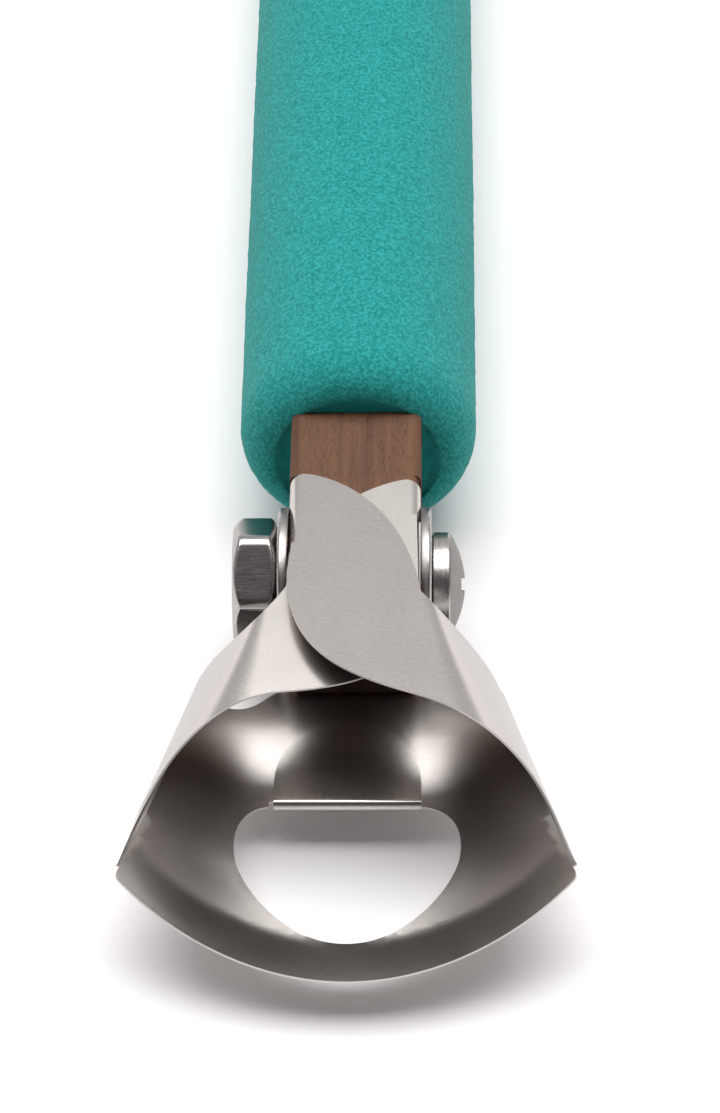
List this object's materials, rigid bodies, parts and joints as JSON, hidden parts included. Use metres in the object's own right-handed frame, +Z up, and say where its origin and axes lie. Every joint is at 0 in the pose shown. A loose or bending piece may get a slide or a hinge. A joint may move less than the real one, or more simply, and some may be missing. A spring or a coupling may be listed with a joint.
{
  "type": "double-ended carving tool",
  "caption": "Clay carving tool with a square wooden core, foam grip and a folded sheet-steel blade head screwed to each end.",
  "frame": {"origin": "middle of the tool's footprint, on the surface that the foam grip rests on", "axes": "+Y along the bar from the wide head to the narrow head, +Z up, +X towards the wide head's screw head"},
  "size_m": [0.0316, 0.1994, 0.0175],
  "materials": {
    "walnut": "sanded, unvarnished",
    "foam": "closed-cell foam, matt",
    "blade_steel": "rolled stainless sheet",
    "hardware_steel": "stainless fasteners"
  },
  "bodies": {
    "handle": {"core_bar": "walnut", "foam_grip": "foam", "wide_head_blade": "blade_steel", "wide_head_screw_washer": "hardware_steel", "wide_head_nut_washer": "hardware_steel", "narrow_head_blade": "blade_steel", "narrow_head_screw_washer": "hardware_steel", "narrow_head_nut_washer": "hardware_steel"},
    "wide_screw": {"wide_head_screw": "hardware_steel"},
    "wide_nut": {"wide_head_nut": "hardware_steel"},
    "narrow_screw": {"narrow_head_screw": "hardware_steel"},
    "narrow_nut": {"narrow_head_nut": "hardware_steel"}
  },
  "joints": [
    {"name": "wide_screw_turn", "type": "hinge", "parent": "handle", "child": "wide_screw", "pos_m": [0, -0.06735, 0.0086], "axis": [1, 0, 0], "range_deg": [0, 1350]},
    {"name": "wide_nut_travel", "type": "slide", "parent": "handle", "child": "wide_nut", "axis": [-1, 0, 0], "range_m": [0, 0.00298]},
    {"name": "narrow_screw_turn", "type": "hinge", "parent": "handle", "child": "narrow_screw", "pos_m": [0, 0.07235, 0.0086], "axis": [-1, 0, 0], "range_deg": [0, 1350]},
    {"name": "narrow_nut_travel", "type": "slide", "parent": "handle", "child": "narrow_nut", "axis": [1, 0, 0], "range_m": [0, 0.00298]}
  ],
  "couplings": [
    {"joint": "wide_screw_turn", "follows": "wide_nut_travel", "rad_per_m": 7915.8},
    {"joint": "narrow_screw_turn", "follows": "narrow_nut_travel", "rad_per_m": 7915.8}
  ]
}
